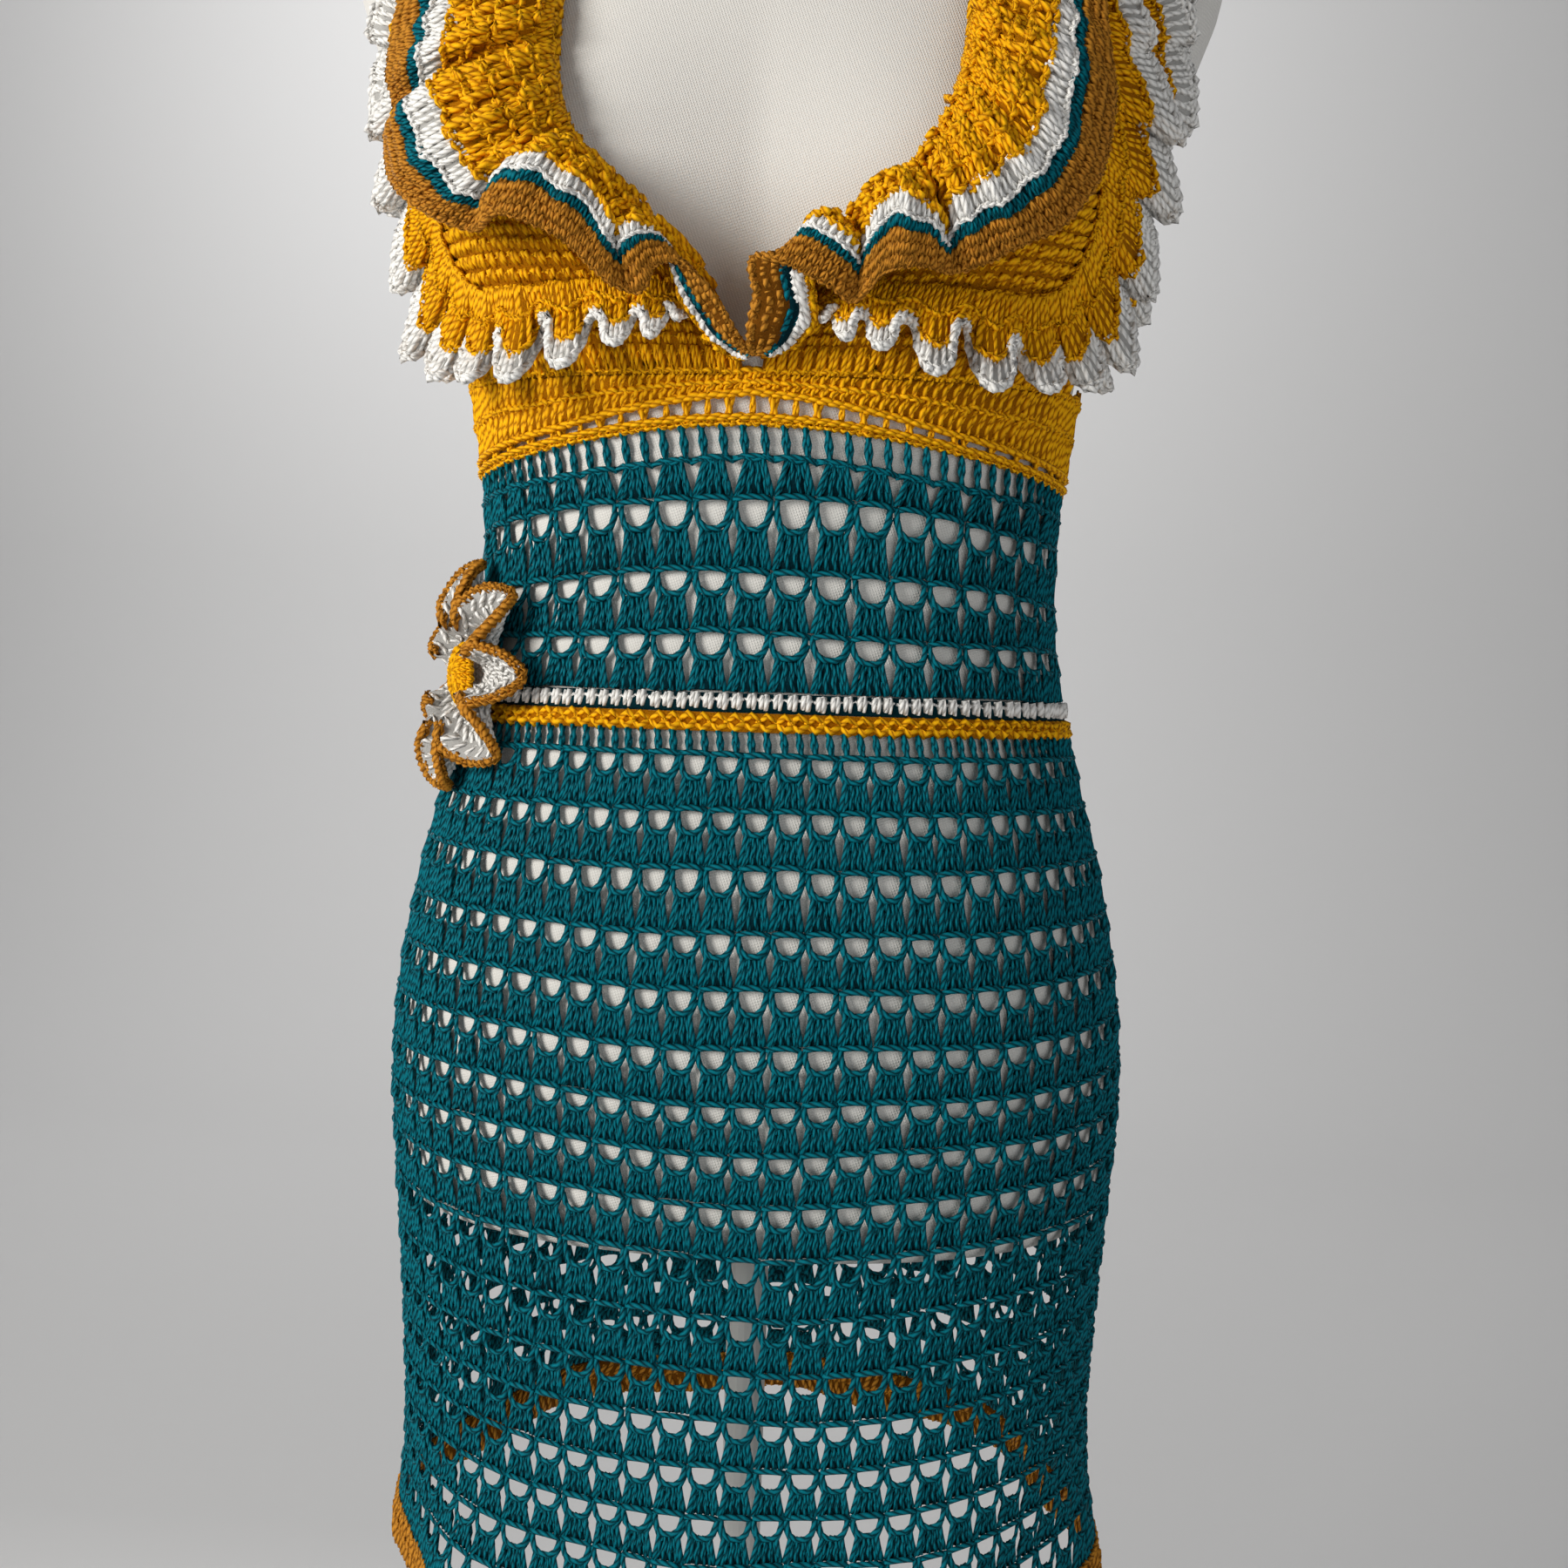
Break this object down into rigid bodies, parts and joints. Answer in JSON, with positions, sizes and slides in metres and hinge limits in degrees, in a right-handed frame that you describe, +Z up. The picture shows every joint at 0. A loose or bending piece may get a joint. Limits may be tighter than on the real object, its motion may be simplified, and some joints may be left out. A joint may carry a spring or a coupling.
{
  "type": "crochet halter dress on dress form",
  "caption": "Crochet halter mini dress in openwork net with ruffled cups, worn on a limbless dress form on a round-based pole stand.",
  "frame": {"origin": "centre of the stand's flat underside", "axes": "+Z up along the pole, the garment's front faces -Y, the wearer's left is +X"},
  "size_m": [0.381, 0.3, 1.5353],
  "materials": {
    "jersey": "matte",
    "stand_grey": "satin",
    "teal_cotton": "matte",
    "mustard_cotton": "matte",
    "caramel_cotton": "matte",
    "ivory_cotton": "matte"
  },
  "bodies": {
    "root": {"arm_frill_left": "mustard_cotton", "arm_frill_left_edge": "ivory_cotton", "arm_frill_right": "mustard_cotton", "arm_frill_right_edge": "ivory_cotton", "back_trim": "caramel_cotton", "body_net_upper": "teal_cotton", "bust_band": "mustard_cotton", "collar_left": "mustard_cotton", "collar_left_edge": "caramel_cotton", "collar_right": "mustard_cotton", "collar_right_edge": "caramel_cotton", "cup_left": "mustard_cotton", "cup_right": "mustard_cotton", "flower_centre": "mustard_cotton", "flower_petals": "ivory_cotton", "form_arm_cover_left": "jersey", "form_arm_cover_right": "jersey", "form_neck_cap": "stand_grey", "form_torso": "jersey", "frill_left": "mustard_cotton", "frill_left_edge": "ivory_cotton", "frill_right": "mustard_cotton", "frill_right_edge": "ivory_cotton", "hem_trim": "caramel_cotton", "neck_strap": "mustard_cotton", "skirt_net": "teal_cotton", "stand_base": "stand_grey", "stand_nut": "stand_grey", "stand_pole": "stand_grey", "stand_socket": "stand_grey", "waist_stripe_gold": "mustard_cotton", "waist_stripe_white": "ivory_cotton"}
  },
  "joints": []
}
